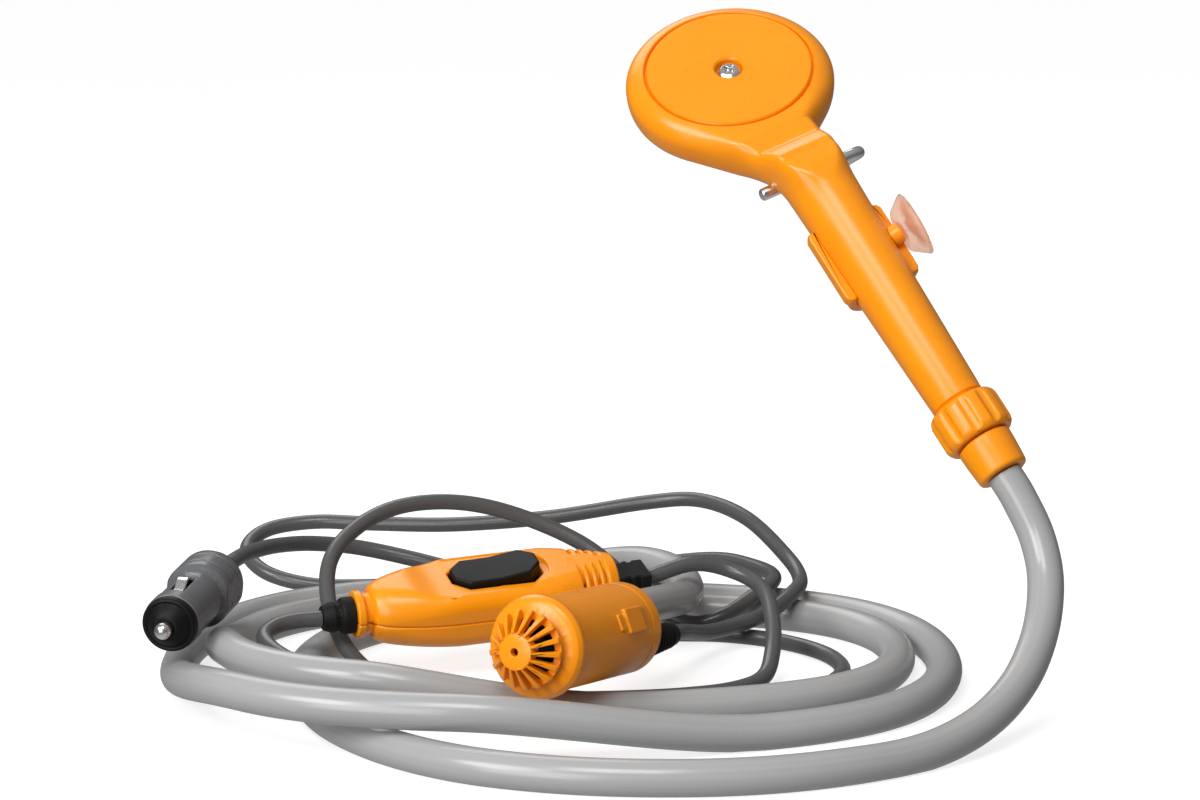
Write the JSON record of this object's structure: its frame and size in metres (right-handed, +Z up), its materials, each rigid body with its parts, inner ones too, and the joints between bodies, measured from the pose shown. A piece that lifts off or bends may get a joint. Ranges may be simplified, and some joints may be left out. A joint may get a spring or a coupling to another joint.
{
  "type": "camp shower pump",
  "caption": "Camp shower kit: hand shower on a coiled hose with a submersible pump, in-line rocker switch and a vehicle socket plug.",
  "frame": {"origin": "on the floor at the middle of the hose coil", "axes": "+X to the right as the kit is laid out, +Y to the back, +Z up"},
  "size_m": [0.3268, 0.3099, 0.2344],
  "materials": {
    "orange_abs": "satin moulded",
    "hose_grey": "semi-gloss extruded",
    "lead_grey": "satin extruded",
    "black_rubber": "matte",
    "black_plastic": "fine texture",
    "dark_plastic": "fine texture",
    "bright_metal": "plated",
    "plain_steel": "zinc plated",
    "clear_pvc": "clear, slightly tinted",
    "fuse_glass": "clear"
  },
  "bodies": {
    "kit": {"handset_shell": "orange_abs", "spray_plate": "orange_abs", "spray_seal": "black_rubber", "head_screw": "bright_metal", "cup_bracket": "orange_abs", "suction_cup": "clear_pvc", "swivel_washer": "black_rubber", "hose_sleeve": "orange_abs", "hose_riser": "hose_grey", "hose_coil": "hose_grey", "hose_tail": "hose_grey", "inlet_grille": "orange_abs", "pump_body": "orange_abs", "shaft_seal": "black_rubber", "motor_can": "plain_steel", "rear_cap": "orange_abs", "rear_seal": "black_rubber", "rear_screws": "plain_steel", "outlet_spigot": "orange_abs", "pump_boot": "black_rubber", "plug_lead": "lead_grey", "switch_lead": "lead_grey", "pump_lead": "lead_grey", "switch_upper": "orange_abs", "switch_lower": "orange_abs", "switch_module": "black_plastic", "switch_boot_in": "black_rubber", "switch_boot_out": "black_rubber", "switch_screws": "plain_steel", "plug_shell": "dark_plastic", "plug_cap": "black_plastic", "plug_relief": "black_rubber"},
    "hook": {"hanging_hook": "bright_metal"},
    "nut": {"swivel_nut": "orange_abs"},
    "rotor": {"impeller": "black_plastic", "motor_shaft": "plain_steel"},
    "rocker": {"switch_rocker": "black_plastic"},
    "tip": {"plug_tip": "bright_metal", "plug_fuse": "fuse_glass", "tip_spring": "plain_steel"},
    "upper_contact": {"contact_upper": "bright_metal"},
    "lower_contact": {"contact_lower": "bright_metal"}
  },
  "joints": [
    {"name": "hook_swing", "type": "hinge", "parent": "kit", "child": "hook", "pos_m": [0.08621, 0.05528, 0.17677], "axis": [0.8713, 0.352, 0.342], "range_deg": [-80, 30]},
    {"name": "nut_turn", "type": "hinge", "parent": "kit", "child": "nut", "pos_m": [0.14391, -0.00887, 0.0958], "axis": [-0.4822, 0.4839, 0.7303], "continuous": true},
    {"name": "rotor_spin", "type": "hinge", "parent": "kit", "child": "rotor", "pos_m": [-0.00968, -0.08547, 0.03316], "axis": [0.466, 0.8764, -0.1219], "continuous": true},
    {"name": "rocker_tilt", "type": "hinge", "parent": "kit", "child": "rocker", "pos_m": [-0.02875, 0.00667, 0.03383], "axis": [-0.3315, 0.9023, 0.2755], "range_deg": [0, 10]},
    {"name": "tip_press", "type": "slide", "parent": "kit", "child": "tip", "axis": [0.2105, 0.9737, 0.0872], "range_m": [0, 0.003], "stiffness_N_per_m": 1500, "springref_m": -0.002},
    {"name": "upper_contact_press", "type": "slide", "parent": "kit", "child": "upper_contact", "axis": [0.0184, 0.0852, -0.9962], "range_m": [0, 0.0015], "stiffness_N_per_m": 2000, "springref_m": -0.0005},
    {"name": "lower_contact_press", "type": "slide", "parent": "kit", "child": "lower_contact", "axis": [-0.0184, -0.0852, 0.9962], "range_m": [0, 0.0015], "stiffness_N_per_m": 2000, "springref_m": -0.0005}
  ]
}
